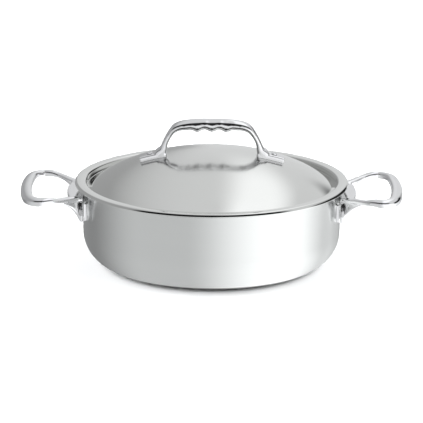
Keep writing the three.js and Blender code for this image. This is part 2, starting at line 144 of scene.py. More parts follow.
class LidSizes(bpy.types.PropertyGroup):
    """Thin pressed lid with a dome, a drop groove and a flat flange."""

    sheet: length("Sheet", "Sheet thickness", 0.0012)
    play: length("Play", "Gap between the drop ring and the pot", 0.0012)
    overhang: length("Overhang", "How far the flange passes the lip", 0.0023)
    drop: length("Drop", "Depth of the groove below the flange", 0.0074)
    groove: length("Groove", "Inside radius of the groove", 0.00105)
    flange_bend: length("Flange bend", "Inside radius between drop ring and flange", 0.0012)
    rim_bend: length("Rim bend", "Outside radius of the flange's turned-down edge", 0.002)
    rim_turn: angle("Rim turn", "How far the flange's edge turns down", 62)
    rim_run: length("Rim run", "Straight length of the edge past its bend", 0.0018)
    dome_rise: length("Dome rise", "Height of the dome above the groove", 0.0388)
    dome_turn: angle("Dome turn", "Part of an ellipse that the dome's outline follows", 58)
    seat: length("Seat gap", "Gap between seated pieces", 0.0003)


class GripSizes(bpy.types.PropertyGroup):
    """Cast bridge handle on the lid, with finger scallops."""

    span: length("Span", "Length of the grip between its corners", 0.084)
    room: length("Finger room", "Gap between the dome and the grip", 0.0258)
    thickness: length("Thickness", "Height of the grip", 0.0114)
    width: length("Width", "Width of the grip", 0.018)
    arch: length("Arch", "How far the grip's ends lie below its middle", 0.005)
    corner: length("Corner", "Rounding of the grip's section", 0.006)
    leg: length("Leg", "Thickness of a leg", 0.0062)
    foot: length("Foot", "Thickness of a leg inside the dome", 0.019)
    ankle: length("Ankle", "Thickness of a leg above its flare", 0.0088)
    spread: length("Leg spread", "How far a leg's foot lies outside its top", 0.013)
    tab: length("Tab", "Thickness of a riveted tab", 0.0055)
    tab_width: length("Tab width", "Width of tabs and legs", 0.016)
    tab_rivet: length("Tab rivet", "Leg foot to the rivet", 0.012)
    tab_end: length("Tab end", "Rivet to the tab's end", 0.0115)
    scallop_pitch: length("Scallop pitch", "Distance between the finger scallops", 0.0162)
    scallop_depth: length("Scallop depth", "Depth of the finger scallops", 0.0034)
    scallop_count: count("Scallops", "Scallops under the grip", 4, 1)
    blend: length("Blend", "Grain of the casting's blended skin", 0.0005)
    blend_passes: count("Blend passes", "Rounds of blending", 8)


class LoopSizes(bpy.types.PropertyGroup):
    """Cast loop handle on the pot's side."""

    reach: length("Reach", "Wall to the outside of the bar", 0.0674)
    width: length("Width", "Overall width of the loop", 0.136)
    corner_out: length("Corner reach", "Reach of the loop's corners", 0.015)
    corner_span: length("Corner span", "Span of the loop's corners along the bar", 0.034)
    bulge: length("Bulge", "Bow of the outer bar", 0.0015)
    bar_below: length("Bar below", "Rim down to the bar's top", 0.0043)
    bar_width: length("Bar width", "Width of the bar", 0.013)
    bar_thickness: length("Bar thickness", "Thickness of the bar", 0.0068)
    bar_tilt: angle("Bar tilt", "How far the inner edge is lifted", 3)
    bar_heel: length("Bar heel", "How far the bar's outer underside hangs lower", 0.0032)
    bar_shoulder: length("Bar shoulder", "How far the bar's outer upper edge slopes off", 0.0015)
    arm_width: length("Arm width", "Width of an arm before the corner", 0.0105)
    arm_thickness: length("Arm thickness", "Thickness of an arm", 0.0056)
    arm_sweep: share("Arm sweep", "Bow of the arms between wall and waist", 1.6)
    waist_out: length("Waist reach", "Wall to the waist of an arm", 0.025)
    waist_pinch: length("Waist pinch", "How far the arms draw in at the waist", 0.0078)
    waist_rise: length("Waist rise", "How far the arms rise to the waist", 0.0027)
    waist_width: length("Waist width", "Width of an arm at its waist", 0.0085)
    root_below: length("Root below", "Rim down to the arm's root", 0.0093)
    root_spread: length("Root spread", "Middle of the handle to an arm's root", 0.035)
    root_width: length("Root width", "Width of an arm at its root", 0.010)
    tongue_reach: length("Tongue reach", "Wall to the tip of the tongue", 0.0162)
    tongue_bulge: length("Tongue bulge", "Bow of the tongue's edge", 0.005)
    tongue_thickness: length("Tongue thickness", "Thickness of the tongue", 0.004)
    tongue_drop: length("Tongue drop", "How far the tongue lies below the arms", 0.0012)
    web_thickness: length("Web thickness", "Thickness of a gusset web", 0.0055)
    web_flare: length("Web flare", "Extra thickness of a web on the wall", 0.002)
    web_hollow: share("Web hollow", "How hollow the web's lower edge runs", 1.5)
    web_splay: angle("Web splay", "Outward lean of a web", 20)
    flange_thickness: length("Flange thickness", "Thickness of the wall plate", 0.004)
    flange_height: length("Flange height", "Height of the wall plate", 0.028)
    flange_corner: length("Flange corner", "Rounding of the wall plate's corners", 0.006)
    blend: length("Blend", "Grain of the casting's blended skin", 0.0006)
    blend_passes: count("Blend passes", "Rounds of blending", 10)
    gap: length("Wall gap", "Gap between the casting and the wall", 0.00015)


class RivetSizes(bpy.types.PropertyGroup):
    """Solid rivets with a low dome head on the food side."""

    side_shank: length("Side shank", "Shank diameter of a side rivet", 0.0064)
    side_head: length("Side head", "Food-side head diameter of a side rivet", 0.015)
    side_upset: length("Side upset", "Upset head diameter of a side rivet", 0.011)
    side_pitch: length("Side pitch", "Distance between the two side rivets", 0.042)
    side_rise: length("Side rise", "Side rivets above the wall plate's foot", 0.013)
    lid_shank: length("Lid shank", "Shank diameter of a lid rivet", 0.0046)
    lid_head: length("Lid head", "Food-side head diameter of a lid rivet", 0.012)
    lid_upset: length("Lid upset", "Upset head diameter of a lid rivet", 0.0064)
    crown: length("Crown", "Height of a food-side head", 0.002)
    upset_crown: length("Upset crown", "Height of an upset head", 0.0014)
    edge: length("Edge", "Straight edge of a head", 0.0006)
    dimple: length("Dimple", "Radius of the centre mark in a lid rivet", 0.0013)


class FinishSettings(bpy.types.PropertyGroup):
    """Colours and polish of the steel."""

    pot: colour("Pot steel", "Satin turned steel of the pot", (0.745, 0.755, 0.745))
    lid: colour("Lid steel", "Bright turned steel of the lid", (0.775, 0.78, 0.765))
    cast: colour("Cast steel", "Mirror polished castings", (0.85, 0.85, 0.86))
    rivet: colour("Rivet steel", "Bright rivet heads", (0.77, 0.77, 0.78))
    pot_roughness: share("Pot roughness", "Blur of the pot's satin finish", 0.26, 1.0)
    lid_roughness: share("Lid roughness", "Blur of the lid's bright flange", 0.05, 1.0)
    dome_roughness: share("Dome roughness", "Blur of the lid's satin dome", 0.16, 1.0)
    cast_roughness: share("Cast roughness", "Blur of the castings", 0.045, 1.0)
    rivet_roughness: share("Rivet roughness", "Blur of the rivets", 0.16, 1.0)


class StageSettings(bpy.types.PropertyGroup):
    """Floor, light and camera."""

    floor_size: length("Floor size", "Side of the floor", 8.0)
    floor: colour("Floor", "Plain pale floor", (0.86, 0.86, 0.86))
    camera_distance: length("Camera distance", "Pot to camera, along the floor", 4.5)
    camera_height: length("Camera height", "Floor to camera", 1.26084)
    camera_pitch: angle("Camera pitch", "How far the camera looks down", 14.969)
    camera_roll: angle("Camera roll", "Lean of the camera", 0.35)
    camera_lens: share("Lens", "Focal length in millimetres", 360.4, 1000.0)


class PotSettings(bpy.types.PropertyGroup):
    """Everything that a user would change on the pot."""

    pot: PointerProperty(type=PotSizes)
    lid: PointerProperty(type=LidSizes)
    grip: PointerProperty(type=GripSizes)
    loop: PointerProperty(type=LoopSizes)
    rivets: PointerProperty(type=RivetSizes)
    finish: PointerProperty(type=FinishSettings)
    stage: PointerProperty(type=StageSettings)


class Form:
    """Sizes that follow from the ones that a user sets."""

    def __init__(self, settings):
        pot, lid, grip, loop = settings.pot, settings.lid, settings.grip, settings.loop
        self.outer = pot.inner_radius + pot.wall
        self.foot = self.outer - pot.taper
        self.lip_end = pi - pot.lip_turn
        bend = pot.lip_bend + pot.wall
        self.lip_start = pot.height - bend * sin(self.lip_end) + pot.lip_run * cos(self.lip_end)
        middle = pot.lip_bend + pot.wall / 2
        lip_out = middle * cos(self.lip_end) + pot.lip_run * sin(self.lip_end)
        lip_up = middle * sin(self.lip_end) - pot.lip_run * cos(self.lip_end)
        self.lip_middle = (self.outer + pot.lip_bend + lip_out, self.lip_start + lip_up)
        self.wall_lean = atan(pot.taper / (self.lip_start - pot.corner))
        self.corner = pot.corner
        self.lid_radius = self.lip_middle[0] + pot.wall / 2 + lid.overhang
        self.flange_top = pot.height + lid.seat + lid.sheet
        self.groove_floor = self.flange_top - lid.drop
        self.drop_inner = pot.inner_radius - lid.play - lid.sheet
        dome_radius = self.drop_inner - 2 * lid.groove
        self.dome_top = self.groove_floor + lid.dome_rise
        self.dome_turn = lid.dome_turn
        self.dome_spread = dome_radius / sin(lid.dome_turn)
        self.dome_depth = lid.dome_rise / (1 - cos(lid.dome_turn))
        self.dome_rim = self.dome_slope(dome_radius)
        self.grip_end = grip.span / 2
        self.leg_foot = self.grip_end + grip.spread
        self.lid_rivet_out = self.leg_foot + grip.tab_rivet
        self.lid_rivet_tilt = self.dome_slope(self.lid_rivet_out)
        self.leg_toe = self.leg_foot - grip.leg
        self.grip_under = self.dome_top + grip.room
        self.root_top = pot.height - loop.root_below
        self.flange_foot = self.root_top - loop.flange_height
        self.arm_spread = (loop.width - loop.arm_width) / 2

    def dome_height(self, out):
        """Height of the dome's top face at a distance from the axis."""
        return self.dome_top - self.dome_depth * (1 - sqrt(1 - (out / self.dome_spread) ** 2))

    def dome_slope(self, out):
        """Lean of the dome's top face at a distance from the axis."""
        return atan(self.dome_depth / self.dome_spread * tan(asin(out / self.dome_spread)))

    def dome_line(self):
        """Outline of the dome's top face, from the axis to the groove."""
        turns = [self.dome_turn * step / ARC_STEPS for step in range(ARC_STEPS + 1)]
        outs = [self.dome_spread * sin(turn) for turn in turns]
        return [(out, self.dome_height(out)) for out in outs]

    def wall_at(self, height):
        """Outside radius of the leaning wall."""
        return self.foot + tan(self.wall_lean) * (height - self.corner)


def form_of(context):
    """The scene's settings and the sizes that follow from them."""
    settings = context.scene.cooking_pot
    return settings, Form(settings)


# Modelling

def pick(*pieces):
    """Select these objects alone, with the first one active."""
    bpy.ops.object.select_all(action="DESELECT")
    for piece in pieces:
        piece.select_set(True)
    bpy.context.view_layer.objects.active = pieces[0]


def named_piece(name):
    """The active object, with its mesh named like it."""
    piece = bpy.context.object
    piece.name = name
    piece.data.name = name
    return piece


def start_piece(name):
    """New mesh at the origin, open in edit mode with one plain square selected."""
    bpy.ops.object.select_all(action="DESELECT")
    bpy.ops.mesh.primitive_plane_add(size=1.0)
    piece = named_piece(name)
    bpy.ops.object.mode_set(mode="EDIT")
    bpy.ops.mesh.select_all(action="SELECT")
    return piece


def close_skin(piece):
    """Weld the skin, turn its faces outward and leave edit mode."""
    bpy.ops.mesh.select_all(action="SELECT")
    bpy.ops.mesh.remove_doubles(threshold=WELD)
    bpy.ops.mesh.normals_make_consistent(inside=False)
    bpy.ops.object.mode_set(mode="OBJECT")
    bpy.ops.object.shade_smooth()
    return piece


def apply_modifier(piece, kind, **values):
    """Add a modifier, set it and apply it."""
    pick(piece)
    modifier = piece.modifiers.new(kind.title(), kind)
    for key, value in values.items():
        setattr(modifier, key, value)
    bpy.ops.object.modifier_apply(modifier=modifier.name)


def cut(piece, operation, tool):
    """Cut or trim a piece with another closed piece, which is used up."""
    apply_modifier(piece, "BOOLEAN", operation=operation, object=tool, solver="MANIFOLD")
    pick(tool)
    bpy.ops.object.delete()


def arc(centre, radius, start, end, steps):
    """Points of an arc in the (radius, height) half-plane, with angles in radians."""
    turns = [start + (end - start) * step / steps for step in range(steps + 1)]
    return [(centre[0] + radius * cos(turn), centre[1] + radius * sin(turn)) for turn in turns]


def trace(points):
    """Draw a row of points in edit mode by extruding one vertex along them."""
    bpy.ops.mesh.merge(type="CENTER")
    bpy.ops.transform.translate(value=points[0])
    for here, there in zip(points, points[1:]):
        step = Vector(there) - Vector(here)
        if step.length > WELD:
            bpy.ops.mesh.extrude_region_move(TRANSFORM_OT_translate={"value": step})


def turned_piece(name, profile, steps=TURN_STEPS):
    """Closed skin of a (radius, height) profile spun about Z."""
    piece = start_piece(name)
    trace([(radius, 0.0, height) for radius, height in profile])
    bpy.ops.mesh.select_all(action="SELECT")
    bpy.ops.mesh.spin(steps=steps, angle=tau, center=(0, 0, 0), axis=(0, 0, 1))
    return close_skin(piece)


def prism(name, points, rise):
    """Flat outline drawn point by point, filled and raised."""
    piece = start_piece(name)
    trace(points + points[:1])
    bpy.ops.mesh.select_all(action="SELECT")
    bpy.ops.mesh.remove_doubles(threshold=WELD)
    bpy.ops.mesh.edge_face_add()
    bpy.ops.mesh.extrude_region_move(TRANSFORM_OT_translate={"value": rise})
    return close_skin(piece)


def smooth_row(stations, steps):
    """Rows of numbers on a smooth curve through a few stations; the first three are the place."""
    rows = np.array(stations, float)
    rows = np.vstack([2 * rows[0] - rows[1], rows, 2 * rows[-1] - rows[-2]])
    gaps = np.linalg.norm(np.diff(rows[:, :3], axis=0), axis=1) ** 0.5
    curve = []
    for i in range(1, len(rows) - 2):
        before, here, there, after = rows[i - 1 : i + 3]
        a, b, c = gaps[i - 1 : i + 2]
        leave = b * ((here - before) / a - (there - before) / (a + b) + (there - here) / b)
        arrive = b * ((there - here) / b - (after - here) / (b + c) + (after - there) / c)
        for t in np.arange(steps) / steps:
            bend = (2 * t**3 - 3 * t**2 + 1) * here + (3 * t**2 - 2 * t**3) * there
            curve.append(bend + (t**3 - 2 * t**2 + t) * leave + (t**3 - t**2) * arrive)
    return np.array(curve + [rows[-2]])


def travel_along(places):
    """Unit direction of travel at each place of a row."""
    steps = np.gradient(places, axis=0)
    return steps / np.linalg.norm(steps, axis=1, keepdims=True)


def select_vertices(piece, indices):
    """Select some of a mesh's vertices alone, in edit mode."""
    bpy.ops.mesh.select_all(action="DESELECT")
    mesh = bmesh.from_edit_mesh(piece.data)
    mesh.verts.ensure_lookup_table()
    for index in indices:
        mesh.verts[index].select = True
    mesh.select_flush(True)


def selected_offsets(piece, place):
    """Offsets of the selected vertices from a place, by index."""
    mesh = bmesh.from_edit_mesh(piece.data)
    mesh.verts.index_update()
    return {vertex.index: vertex.co - place for vertex in mesh.verts if vertex.select}


def hang_corner(piece, place, axes, heel):
    """Let the back lower corner of the selected rectangle hang below the rest."""
    offsets = selected_offsets(piece, place)
    across, up = axes.col[0], axes.col[1]
    lowest = min(offsets, key=lambda index: offsets[index].dot(across + up))
    select_vertices(piece, [lowest])
    bpy.ops.transform.translate(value=-heel * up)
    select_vertices(piece, offsets)


def slope_shoulder(piece, place, axes, shoulder):
    """Draw the back upper corner of the selected rounded ring out into a slope."""
    offsets = selected_offsets(piece, place)
    across, up = axes.col[0], axes.col[1]
    ring = sorted(offsets, key=lambda index: offsets[index].dot(up - across))
    corner = sorted(ring[-RING_SEGMENTS - 1 :], key=lambda index: offsets[index].dot(across))
    for step, index in enumerate(corner):
        part = step / RING_SEGMENTS
        slope = part * across - (1 - part) * SHOULDER_FALL * up
        select_vertices(piece, [index])
        bpy.ops.transform.translate(value=shoulder * slope)
    select_vertices(piece, offsets)


def add_section(piece, section):
    """Rounded rectangle ring, added in edit mode at its place and turn."""
    place, axes, wide, tall, corner, heel, shoulder = section
    bpy.ops.mesh.select_all(action="DESELECT")
    bpy.ops.mesh.primitive_plane_add(size=1.0, location=place, rotation=axes.to_euler())
    bpy.ops.transform.resize(
        value=(wide, tall, 1.0),
        orient_type="GLOBAL",
        orient_matrix=axes,
        orient_matrix_type="GLOBAL",
        center_override=place,
    )
    if heel:
        hang_corner(piece, place, axes, heel)
    offset = min(corner, MOST_ROUNDING * tall)
    bpy.ops.mesh.bevel(offset=offset, affect="VERTICES", segments=RING_SEGMENTS)
    if shoulder:
        slope_shoulder(piece, place, axes, shoulder)
    bpy.ops.mesh.delete(type="ONLY_FACE")


def lofted_piece(name, sections):
    """Closed skin bridged from ring to ring, for sections as add_section takes them."""
    piece = start_piece(name)
    bpy.ops.mesh.delete(type="VERT")
    for section in sections:
        add_section(piece, section)
    ring = 4 * (RING_SEGMENTS + 1)
    for i in range(len(sections) - 1):
        select_vertices(piece, range(i * ring, (i + 2) * ring))
        bpy.ops.mesh.bridge_edge_loops()
    bpy.ops.mesh.select_all(action="SELECT")
    bpy.ops.mesh.fill_holes(sides=0)
    return close_skin(piece)


def smooth_skin(piece, levels):
    """Round a cage with a subdivision surface."""
    apply_modifier(piece, "SUBSURF", levels=levels, render_levels=levels)


def blend_parts(name, parts, grain, passes):
    """Fuse overlapping parts into one smoothly blended casting."""
    pick(*parts)
    bpy.ops.object.join()
    piece = named_piece(name)
    apply_modifier(piece, "REMESH", mode="VOXEL", voxel_size=grain)
    apply_modifier(piece, "SMOOTH", factor=BLEND_FACTOR, iterations=passes)
    return piece


def place_piece(piece, place):
    """Move a piece's mesh by a matrix, leaving the object at the origin."""
    pick(piece)
    piece.matrix_world = place
    bpy.ops.object.transform_apply(location=True, rotation=True, scale=True)


def opposite_copy(piece, name):
    """Copy of a piece with its own mesh, turned half round the Z axis."""
    pick(piece)
    bpy.ops.object.duplicate(linked=False)
    copy = named_piece(name)
    place_piece(copy, Matrix.Rotation(pi, 4, "Z"))
    return copy


def keep_crisp(piece):
    """Shade a piece smooth, apart from its crisp edges."""
    pick(piece)
    bpy.ops.object.shade_smooth_by_angle(angle=CRISP)


def dress(settings, piece, node, body, slot):
    """Give a piece its slot's finish and put it in the place of its node."""
    piece.data.materials.clear()
    piece.data.materials.append(finish_for(settings, slot))
    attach(piece, body)
    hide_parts(node)


# Finishes

# Painted shade: seams are coloured dark by how much light around them is shut out in a short reach
PAINTED_SHADE_REACH = 0.005
PAINTED_SHADE_COLOUR = (0.02, 0.02, 0.02, 1.0)

# Painted shadow by the floor may darken the pot's foot below the first height, none above the second
FOOT_SHADOW_HEIGHTS = (0.01, 0.02)

# The dome's satin finish ends between these radii
DOME_SATIN = (0.110, 0.130)

# Turned steel: distance between its lines, how much they stretch reflections, and the shares of
# open surroundings at which the painted seam shade is full and gone (on the pot, only at its foot)
POT_TURNING = (0.0004, 0.85, (0.6, 0.92))
LID_TURNING = (0.0003, 0.3, (0.25, 0.65))

# Its lines: scale, detail and roughness of their noise, relief, spread of blur, and how much the
# noise changes round the axis; broad lines lie farther apart and tint the colour
LINE_NOISE = (1.0, 3.0, 0.6)
LINE_DEPTH = 0.01
LINE_BLUR = (0.92, 1.08)
FINE_WANDER = 3.0
BROAD_WANDER = 1.0
BROAD_LINES = 12
BROAD_TINT = 0.03
QUARTER_TURN = 0.25

# Castings: scale, detail and roughness of their waves and polishing marks, relief, spread of blur
WAVE_NOISE = (70.0, 1.0, 0.5)
WAVE_HEIGHT = 0.001
HANDLE_WAVES = 0.05
RIVET_WAVES = 0.03
MARK_NOISE = (900.0, 4.0, 0.7)
MARK_BLUR = (0.6, 1.4)
MARK_TINT = 0.04


class Level:
    """A shader value that is reckoned with like a number, with one math node for each step."""

    def __init__(self, tree, socket):
        self.tree, self.socket = tree, socket

    def step(self, operation, *others):
        """What a math node makes of this value and others."""
        return math_level(self.tree, operation, self, *others)

    def __add__(self, other):
        return self.step("ADD", other)

    def __sub__(self, other):
        return self.step("SUBTRACT", other)

    def __rsub__(self, other):
        return math_level(self.tree, "SUBTRACT", other, self)

    def __mul__(self, other):
        return self.step("MULTIPLY", other)

    def __truediv__(self, other):
        return self.step("DIVIDE", other)

    __radd__ = __add__
    __rmul__ = __mul__


def set_input(tree, target, value):
    """Set a node's input, or link it where the value comes from another node."""
    source = value.socket if isinstance(value, Level) else value
    if isinstance(source, bpy.types.NodeSocket):
        tree.links.new(source, target)
    else:
        target.default_value = source


def add_node(tree, kind, **inputs):
    """New shader node with some of its inputs set or linked."""
    node = tree.nodes.new(kind)
    for key, value in inputs.items():
        set_input(tree, node.inputs[key.replace("_", " ")], value)
    return node


def math_level(tree, operation, *values):
    """The value of a new math node."""
    node = tree.nodes.new("ShaderNodeMath")
    node.operation = operation
    for target, value in zip(node.inputs, values):
        set_input(tree, target, value)
    return Level(tree, node.outputs[0])


def parts_of(tree, vector):
    """The three parts of a vector."""
    node = add_node(tree, "ShaderNodeSeparateXYZ", Vector=vector)
    return [Level(tree, part) for part in node.outputs]


def noise(tree, place, scale, detail, roughness):
    """Noise from 0 to 1."""
    node = add_node(tree, "ShaderNodeTexNoise", Vector=place, Scale=scale, Detail=detail)
    node.inputs["Roughness"].default_value = roughness
    return Level(tree, node.outputs["Fac"])


def spread(level, low, high):
    """A share spread between two limits."""
    node = add_node(level.tree, "ShaderNodeMapRange", Value=level, To_Min=low, To_Max=high)
    return Level(level.tree, node.outputs["Result"])


def fade(level, start, end):
    """Smooth share that is 0 at one value and 1 at another."""
    node = add_node(level.tree, "ShaderNodeMapRange", Value=level, From_Min=start, From_Max=end)
    node.interpolation_type = "SMOOTHSTEP"
    return Level(level.tree, node.outputs["Result"])


def mixed(tree, part, first, second):
    """Colour between two others, by the second one's part."""
    node = tree.nodes.new("ShaderNodeMix")
    node.data_type = "RGBA"
    for index, value in ((0, part), (6, first), (7, second)):
        set_input(tree, node.inputs[index], value)
    return node.outputs[2]


def tinted(level, rgb, depth):
    """A colour that darkens a little with a noise."""
    dark = [channel * (1 - depth) for channel in rgb]
    return mixed(level.tree, level, (*dark, 1), (*rgb, 1))


def painted_seam_shade(tree, rgb, limits, height=None):
    """Painted shade: a colour darkens in a piece's own seams or, given a height, at its foot."""
    # Painted shade: the share of light that reaches a place sets how dark its colour is painted
    seam_shade = add_node(tree, "ShaderNodeAmbientOcclusion", Distance=PAINTED_SHADE_REACH)
    seam_shade.only_local = height is None
    light = fade(Level(tree, seam_shade.outputs["AO"]), *limits)
    if height is not None:
        light = light.step("MAXIMUM", fade(height, *FOOT_SHADOW_HEIGHTS))
    return mixed(tree, light, PAINTED_SHADE_COLOUR, rgb)


def new_steel(name, roughness):
    """Metal material; returns it with its tree, shader and object coordinates."""
    material = bpy.data.materials.new(name)
    material.use_nodes = True
    tree = material.node_tree
    shader = tree.nodes["Principled BSDF"]
    shader.inputs["Metallic"].default_value = 1.0
    shader.inputs["Roughness"].default_value = roughness
    place = tree.nodes.new("ShaderNodeTexCoord").outputs["Object"]
    return material, tree, shader, place


def set_surface(tree, shader, rgb, blur, relief, strength, distance):
    """Set a steel's colour, blur and relief."""
    bump = add_node(tree, "ShaderNodeBump", Height=relief, Strength=strength, Distance=distance)
    for socket, value in (("Base Color", rgb), ("Roughness", blur), ("Normal", bump.outputs[0])):
        set_input(tree, shader.inputs[socket], value)


def turning_lines(reach, turn, height, pitch, wander):
    """Noise that runs round the Z axis in fine lines, as a spinning wheel leaves them."""
    tree = reach.tree
    row = add_node(
        tree, "ShaderNodeCombineXYZ", X=reach / pitch, Y=turn * wander, Z=height / pitch
    )
    return noise(tree, row.outputs[0], *LINE_NOISE)


def turned_steel(name, rgb, roughness, turning, satin=None, foot=False):
    """Steel finished on a spinning wheel, with fine lines round the axis that stretch reflections.

    Satin gives the radii between which a satin middle ends, and its roughness. With a foot, the
    pot's foot gets a painted shadow by the floor; without, the piece's own seams get painted shade.
    """
    lines, anisotropy, seam_shade = turning
    material, tree, shader, place = new_steel(name, roughness)
    x, y, z = parts_of(tree, place)
    reach, turn = (x * x + y * y).step("SQRT"), y.step("ARCTAN2", x)
    fine = turning_lines(reach, turn, z, lines, FINE_WANDER)
    broad = turning_lines(reach, turn, z, BROAD_LINES * lines, BROAD_WANDER)
    # Painted shade darkens the colour: in the piece's own seams, or on the pot's foot by the floor
    steel = painted_seam_shade(tree, tinted(broad, rgb, BROAD_TINT), seam_shade, z if foot else None)
    blur = spread(fine, *LINE_BLUR)
    if satin:
        inner, outer, satin_roughness = satin
        blur *= spread(fade(reach, outer, inner), roughness, satin_roughness)
    else:
        blur *= roughness
    set_surface(tree, shader, steel, blur, fine, LINE_DEPTH, lines)
    shader.inputs["Anisotropic"].default_value = anisotropy
    shader.inputs["Anisotropic Rotation"].default_value = QUARTER_TURN
    tangent = tree.nodes.new("ShaderNodeTangent")
    tangent.direction_type = "RADIAL"
    tangent.axis = "Z"
    set_input(tree, shader.inputs["Tangent"], tangent.outputs[0])
    return material


def polished_casting(name, rgb, roughness, waves):
    """Mirror polished casting: a faint hand-polished waviness under fine polishing marks."""
    material, tree, shader, place = new_steel(name, roughness)
    marks = noise(tree, place, *MARK_NOISE)
    blur = spread(marks, *[part * roughness for part in MARK_BLUR])
    wave = noise(tree, place, *WAVE_NOISE)
    set_surface(tree, shader, tinted(marks, rgb, MARK_TINT), blur, wave, waves, WAVE_HEIGHT)
    return material


def finish_for(settings, slot):
    """The material of one of the record's slots, made once."""
    name = f"{slot}_finish"
    if name in bpy.data.materials:
        return bpy.data.materials[name]
    finish = settings.finish
    if slot == "pot_steel":
        # The pot's foot gets a painted shadow where it meets the floor
        return turned_steel(name, finish.pot, finish.pot_roughness, POT_TURNING, foot=True)
    if slot == "lid_steel":
        satin = (*DOME_SATIN, finish.dome_roughness)
        return turned_steel(name, finish.lid, finish.lid_roughness, LID_TURNING, satin)
    if slot == "handle_steel":
        return polished_casting(name, finish.cast, finish.cast_roughness, HANDLE_WAVES)
    return polished_casting(name, finish.rivet, finish.rivet_roughness, RIVET_WAVES)


# Pot

def pot_outer_line(pot, form, grow=0.0):
    """Outside of the base, corner and wall."""
    corner = pot.corner + grow
    centre = (form.foot + grow - corner, corner - grow)
    return [
        (0.0, -grow),
        *arc(centre, corner, -pi / 2, 0.0, ARC_STEPS),
        (form.outer + grow, form.lip_start),
    ]


class COOKINGPOT_OT_pot_body(bpy.types.Operator):
    """Model the pressed pot"""

    bl_idname = "cookingpot.pot_body"
    bl_label = "Pot Body"

    def execute(self, context):
        settings, form = form_of(context)
        pot = settings.pot
        bend_centre = (form.outer + pot.lip_bend, form.lip_start)
        edge_start = form.lip_end - pi
        inner_corner = (form.foot - pot.corner, pot.corner)
        profile = [
            *pot_outer_line(pot, form),
            *arc(bend_centre, pot.lip_bend, pi, form.lip_end, BEND_STEPS),
            *arc(form.lip_middle, pot.wall / 2, edge_start, edge_start + pi, BEND_STEPS),
            *arc(bend_centre, pot.lip_bend + pot.wall, form.lip_end, pi, BEND_STEPS),
            *arc(inner_corner, pot.corner - pot.wall, 0.0, -pi / 2, ARC_STEPS),
            (0.0, pot.wall),
        ]
        piece = turned_piece("pot_body_skin", profile)
        dress(settings, piece, "pot_body", "pot", "pot_steel")
        return {"FINISHED"}


# Lid

def sheet_under(line, thickness):
    """The far face of a sheet, one thickness below its top line and square to it."""
    row = np.array(line)
    along = travel_along(row)
    under = row + thickness * np.stack([along[:, 1], -along[:, 0]], axis=1)
    under[0] = (0.0, row[0, 1] - thickness)
    return [tuple(point) for point in under]


class COOKINGPOT_OT_lid_shell(bpy.types.Operator):
    """Model the domed lid with its drop groove and flange"""

    bl_idname = "cookingpot.lid_shell"
    bl_label = "Lid Shell"

    def execute(self, context):
        settings, form = form_of(context)
        lid = settings.lid
        bend = lid.flange_bend + lid.sheet
        groove = (form.drop_inner - lid.groove, form.groove_floor + lid.groove)
        shoulder = (form.drop_inner + bend, form.flange_top - bend)
        rim_out = lid.rim_bend * sin(lid.rim_turn) + lid.rim_run * cos(lid.rim_turn)
        rim = (form.lid_radius - rim_out, form.flange_top - lid.rim_bend)
        rim_end = pi / 2 - lid.rim_turn
        outward = Vector((cos(rim_end), sin(rim_end)))
        downward = Vector((sin(rim_end), -cos(rim_end)))
        tip = Vector(rim) + lid.rim_bend * outward + lid.rim_run * downward
        top = [
            *form.dome_line(),
            *arc(groove, lid.groove, 1.5 * pi - form.dome_rim, tau, BEND_STEPS),
            *arc(shoulder, bend, pi, pi / 2, BEND_STEPS),
            *arc(rim, lid.rim_bend, pi / 2, rim_end, BEND_STEPS),
            tuple(tip),
        ]
        end = arc(tip - lid.sheet / 2 * outward, lid.sheet / 2, rim_end - pi, rim_end, BEND_STEPS)
        profile = [*sheet_under(top, lid.sheet)[:-1], *end, *top[-2::-1]]
        piece = turned_piece("lid_shell_skin", profile)
        dress(settings, piece, "lid_shell", "lid", "lid_steel")
        return {"FINISHED"}


def scallop(grip, out):
    """Downward swell between the fingers: full under the grip, fading out before the corners."""
    reach = grip.scallop_pitch * grip.scallop_count / 2
    part = min(max((reach - abs(out)) / grip.scallop_pitch, 0.0), 1.0)
    wave = 1 + cos(tau * out / grip.scallop_pitch)
    return grip.scallop_depth / 2 * part**2 * (3 - 2 * part) * wave


def bridge_half(grip, form):
    """Stations from inside the dome to the grip's middle: place, width, thickness and corner.

    Those of the leg stand at parts of its height.
    """
    foot_height = form.dome_height(form.leg_foot)
    leg_top = form.grip_under - grip.leg

    def leg(out, part, thickness):
        height = foot_height + (leg_top - foot_height) * part
        return out, 0.0, height, grip.tab_width, thickness, LEG_ROUNDING * grip.leg

    def foot(part, thickness):
        return leg(form.leg_toe + thickness / 2, part, thickness)

    def bar(out, thickness):
        height = form.grip_under + grip.thickness / 2 - grip.arch * (out / form.grip_end) ** 3
        return out, 0.0, height, grip.width, thickness, grip.corner

    return [
        foot(-1 / 4, grip.foot),
        foot(1 / 8, (grip.foot + grip.ankle) / 2),
        foot(1 / 3, grip.ankle),
        leg(form.grip_end + 2 / 3 * grip.spread, 2 / 3, grip.leg),
        leg(form.grip_end + grip.spread / 3, 1.0, grip.leg),
        bar(form.grip_end - grip.leg / 2, (grip.leg + grip.thickness) / 2),
        bar(form.grip_end / 2, grip.thickness),
        bar(0.0, grip.thickness),
    ]


def tab_row(grip, form):
    """Stations of a riveted tab from its end to the leg's toe; its lower half is in the dome."""
    corner = TAB_ROUNDING * grip.tab

    def tab(out):
        return out, 0.0, form.dome_height(out), grip.tab_width, 2 * grip.tab, corner

    end = form.lid_rivet_out + grip.tab_end
    return [tab(end), tab(end - corner), tab(form.lid_rivet_out), tab(form.leg_toe)]


